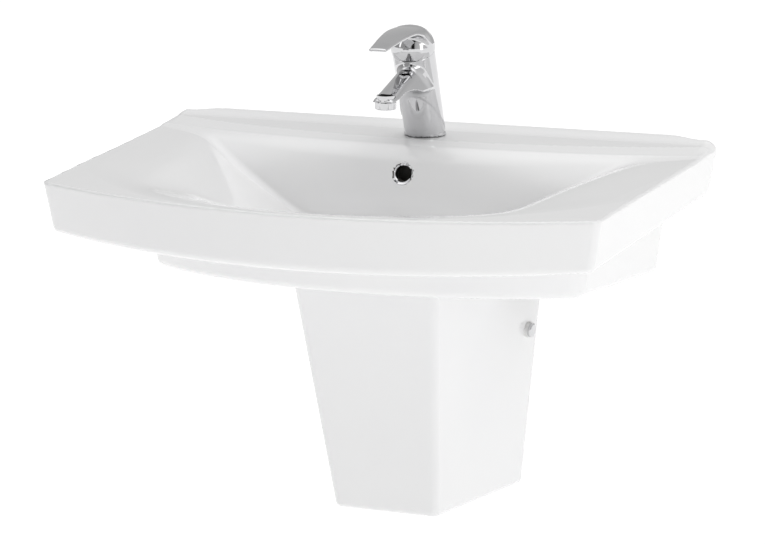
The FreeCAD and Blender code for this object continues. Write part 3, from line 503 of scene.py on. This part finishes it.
# ---- pieces ----
BASIN_STEP, PEDESTAL_STEP, TAP_STEP, LEVER_STEP = 3.0, 3.0, 1.1, 1.0
RIM_SHIFT = np.array((0, 0, RIM_Z))


def shifted(shape, shift):
    quads, points, normals = shape
    return quads, points + shift, normals


basin = shifted(skin(basin_field, BASIN_LOW - RIM_SHIFT, BASIN_HIGH - RIM_SHIFT, BASIN_STEP), RIM_SHIFT)
# faces inside the holes, recess and channel get the near-black painted shade as their second material
make_piece("glazed_basin", basin, [GLAZE, PAINTED_HOLE_SHADE], "washbasin", ["basin"], in_basin_holes)
pedestal = shifted(skin(pedestal_field, PED_LOW - RIM_SHIFT, PED_HIGH - RIM_SHIFT, PEDESTAL_STEP), RIM_SHIFT)
make_piece("glazed_semi_pedestal", pedestal, [GLAZE], "washbasin", ["semi_pedestal"])
TAP_LOW, TAP_HIGH = [np.array(c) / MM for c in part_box("tap_body")]
TAP_LOW[2] = DECK_Z
tap_body = skin(tap_body_field, TAP_LOW, TAP_HIGH, TAP_STEP)
make_piece("chrome_tap_body", tap_body, [CHROME], "washbasin", ["tap_body"])
LEVER_LOW, LEVER_HIGH = [np.array(c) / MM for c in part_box("tap_lever")]
tap_lever = skin(tap_lever_field, LEVER_LOW, LEVER_HIGH, LEVER_STEP)
make_piece("chrome_tap_lever", tap_lever, [CHROME], "lever", ["tap_lever"])

# ---- floor, light and camera ----
FLOOR_GLOW = 0.24
ALL_ROUND, OVERHEAD, FROM_RIGHT, FROM_BACK = 0.38, 1.08, 0.30, 0.15
BAND_EDGES, BAND_TOP, BAND_DEPTH = (0.12, 0.16), 0.75, 0.97
CAMERA_AZIMUTH, CAMERA_ELEVATION, CAMERA_DISTANCE = math.radians(19.1), math.radians(13.4), 3.0565
RIM_ABOVE_FLOOR = 0.85
FLOOR_Z = RIM_Z * MM - RIM_ABOVE_FLOOR
bpy.ops.mesh.primitive_grid_add(x_subdivisions=2, y_subdivisions=2, size=60, location=(0, 0, FLOOR_Z))
floor = bpy.context.object
floor.name = "floor"
pale = material("pale_floor", (0.9, 0.9, 0.9), (0.91, 0.91, 0.91), (0.85, 0.9), grain=40, bump=0.01, patch=2)
pale_sockets = pale.node_tree.nodes["Principled BSDF"].inputs
pale_sockets["Emission Color"].default_value = (1, 1, 1, 1)
pale_sockets["Emission Strength"].default_value = FLOOR_GLOW
pale_sockets["Specular IOR Level"].default_value = 0.0
floor.data.materials.append(pale)


def build_world():
    """A pale studio, brightest overhead and to the right, with one narrow dark band in front."""
    world = bpy.data.worlds.new("studio")
    bpy.context.scene.world = world
    world.use_nodes = True
    nodes, links = world.node_tree.nodes, world.node_tree.links
    back = nodes["Background"]
    place = nodes.new("ShaderNodeTexCoord")
    split = nodes.new("ShaderNodeSeparateXYZ")
    links.new(place.outputs["Generated"], split.inputs["Vector"])

    def calc(kind, a, b=0.0, c=0.0):
        node = nodes.new("ShaderNodeMath")
        node.operation = kind
        for socket, v in zip(node.inputs, (a, b, c)):
            if isinstance(v, (int, float)):
                socket.default_value = v
            else:
                links.new(v, socket)
        return node.outputs[0]

    def step(v, start, end):
        node = nodes.new("ShaderNodeMapRange")
        node.interpolation_type = "SMOOTHSTEP"
        links.new(v, node.inputs["Value"])
        node.inputs["From Min"].default_value, node.inputs["From Max"].default_value = start, end
        return node.outputs["Result"]

    x, y, z = split.outputs
    base = calc("ADD", ALL_ROUND, calc("MULTIPLY", step(z, 0.55, 0.95), OVERHEAD))
    base = calc("ADD", base, calc("MULTIPLY", step(x, 0.2, 0.9), FROM_RIGHT))
    base = calc("ADD", base, calc("MULTIPLY", step(y, -0.1, 0.6), FROM_BACK))
    off_band = calc("ABSOLUTE", calc("ADD", calc("MULTIPLY", x, 0.945), calc("MULTIPLY", y, 0.327)))
    band = calc("MULTIPLY", calc("SUBTRACT", 1.0, step(off_band, *BAND_EDGES)), calc("LESS_THAN", y, 0.0))
    band = calc("MULTIPLY", band, calc("LESS_THAN", z, BAND_TOP))
    level = calc("MULTIPLY", base, calc("SUBTRACT", 1.0, calc("MULTIPLY", band, BAND_DEPTH)))
    links.new(level, back.inputs["Strength"])
    back.inputs["Color"].default_value = (1, 1, 1, 1)


build_world()


def soft_box(name, place, target, size, power):
    light = bpy.data.lights.new(name, "AREA")
    light.shape, light.size, light.size_y, light.energy = "RECTANGLE", *size, power
    lamp = bpy.data.objects.new(name, light)
    bpy.context.scene.collection.objects.link(lamp)
    lamp.location = place
    lamp.rotation_euler = (Vector(target) - Vector(place)).to_track_quat("-Z", "Y").to_euler()
    return lamp


CENTRE = Vector((0, -0.27, 0.05))
soft_box("right_box", (2.6, -1.4, 0.9), CENTRE, (0.8, 2.2), 9)
soft_box("left_box", (-2.4, -2.0, 1.2), CENTRE, (0.5, 1.8), 3.5)

CAMERA_TARGET = Vector((-0.0138, -0.1828, RIM_Z * MM - 0.1419))
camera_data = bpy.data.cameras.new("camera")
camera_data.sensor_width = 36
camera_data.lens = 121.28
camera = bpy.data.objects.new("camera", camera_data)
bpy.context.scene.collection.objects.link(camera)
toward = Vector((math.sin(CAMERA_AZIMUTH) * math.cos(CAMERA_ELEVATION),
                 -math.cos(CAMERA_AZIMUTH) * math.cos(CAMERA_ELEVATION), math.sin(CAMERA_ELEVATION)))
camera.location = CAMERA_TARGET + toward * CAMERA_DISTANCE
camera.rotation_euler = toward.to_track_quat("Z", "Y").to_euler()
bpy.context.scene.camera = camera
bpy.context.scene.view_settings.view_transform = "Standard"

bpy.context.view_layer.update()
